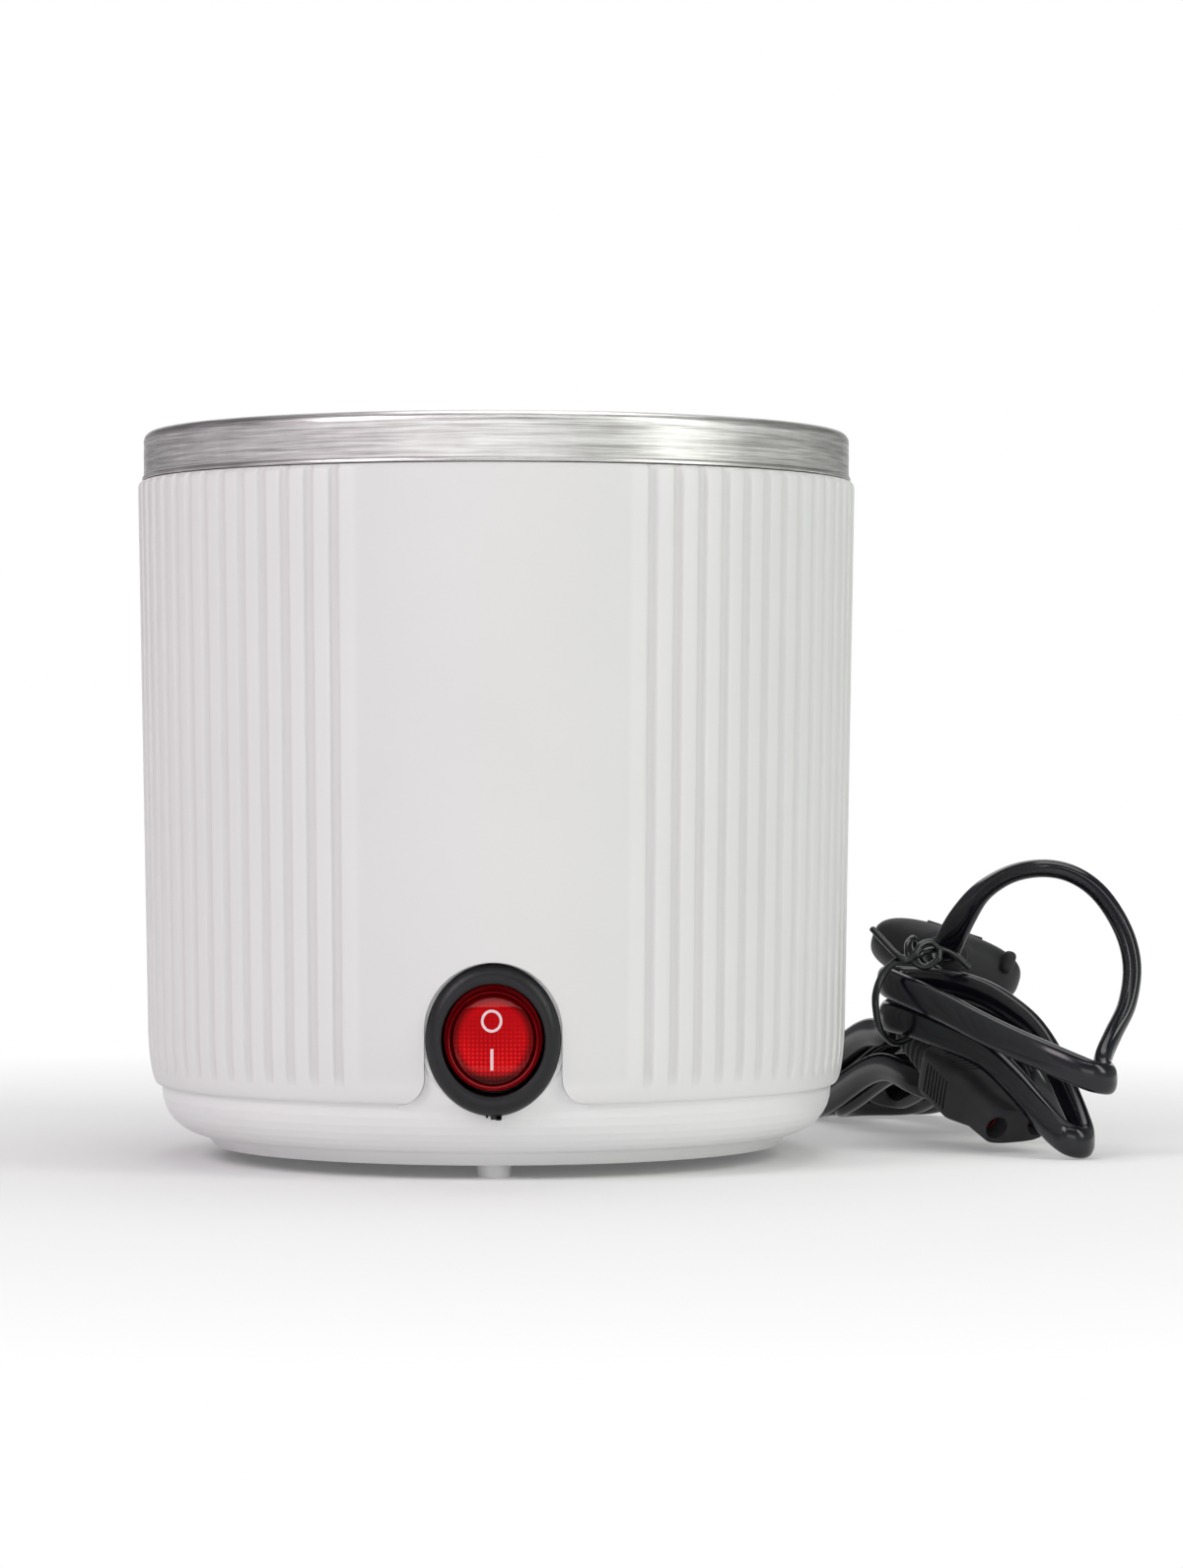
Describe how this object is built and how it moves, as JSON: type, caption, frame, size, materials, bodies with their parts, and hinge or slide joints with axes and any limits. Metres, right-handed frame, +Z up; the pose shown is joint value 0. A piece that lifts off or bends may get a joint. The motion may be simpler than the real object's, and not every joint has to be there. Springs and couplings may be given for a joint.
{
  "type": "dental lab wax heater",
  "caption": "Round electric wax heater: aluminium pot in a white ribbed sleeve, bowl-shaped base with a lit rocker switch, and a tied figure-8 mains lead.",
  "frame": {"origin": "centre of the ring of feet, on the surface that the heater stands on", "axes": "+Z up along the pot's axis, -Y towards the front with the switch, +X to the right seen from the front"},
  "size_m": [0.1835, 0.1608, 0.131],
  "materials": {
    "base_plastic": "satin moulded, bright white",
    "sleeve_plastic": "satin moulded, ribbed",
    "pot_aluminium": "spun and lightly brushed round the rim",
    "steel": "zinc plated",
    "mica_band": "mica strip in a thin metal jacket",
    "glass_wool": "woven glass fibre",
    "thermostat_body": "moulded, with an aluminium cap",
    "brass_fuse": "plated",
    "black_plastic": "fine satin",
    "red_lens": "clear red, polished",
    "white_plastic": "satin",
    "contact_brass": "bright",
    "lamp_glass": "clear",
    "nickel_pins": "bright nickel",
    "clear_sleeve": "soft",
    "brown_wire": "soft insulation",
    "blue_wire": "soft insulation",
    "black_wire": "soft insulation",
    "cord_plastic": "glossy soft moulding",
    "tie_plastic": "plastic-covered wire"
  },
  "bodies": {
    "housing": {"base_bowl": "base_plastic", "ribbed_sleeve": "sleeve_plastic", "heating_pot": "pot_aluminium", "pot_studs": "steel", "stud_spacers": "steel", "carrier_plate": "steel", "stud_nuts": "steel", "base_screws": "steel", "clinch_nuts": "steel", "band_heater": "mica_band", "band_clamp_screw": "steel", "insulation_blanket": "glass_wool", "thermostat": "thermostat_body", "thermostat_strap": "steel", "strap_nuts": "steel", "thermal_fuse": "brass_fuse", "fuse_sleeve": "glass_wool", "switch_housing": "black_plastic", "switch_terminals": "contact_brass", "neon_lamp": "lamp_glass", "figure8_inlet": "black_plastic", "inlet_pins": "nickel_pins", "terminal_sleeves": "clear_sleeve", "live_wire": "brown_wire", "fuse_wire": "brown_wire", "lamp_wire": "blue_wire", "switched_wire": "black_wire", "heater_wire": "brown_wire", "neutral_wire": "blue_wire", "appliance_connector": "cord_plastic", "cord_tail": "cord_plastic", "cord_hank": "cord_plastic", "cord_loop": "cord_plastic", "mains_plug": "cord_plastic", "plug_pins": "nickel_pins", "wire_tie": "tie_plastic"},
    "rocker": {"switch_rocker": "red_lens", "contact_plunger": "white_plastic", "plunger_spring": "steel"},
    "contact": {"contact_blade": "contact_brass"}
  },
  "joints": [
    {"name": "rocker_swing", "type": "hinge", "parent": "housing", "child": "rocker", "pos_m": [0, -0.0592, 0.0245], "axis": [1, 0, 0], "range_deg": [0, 18]},
    {"name": "contact_tilt", "type": "hinge", "parent": "housing", "child": "contact", "pos_m": [0, -0.0472, 0.0245], "axis": [1, 0, 0], "range_deg": [-16.2, 0]}
  ],
  "couplings": [
    {"joint": "contact_tilt", "follows": "rocker_swing", "ratio": -0.88889}
  ]
}
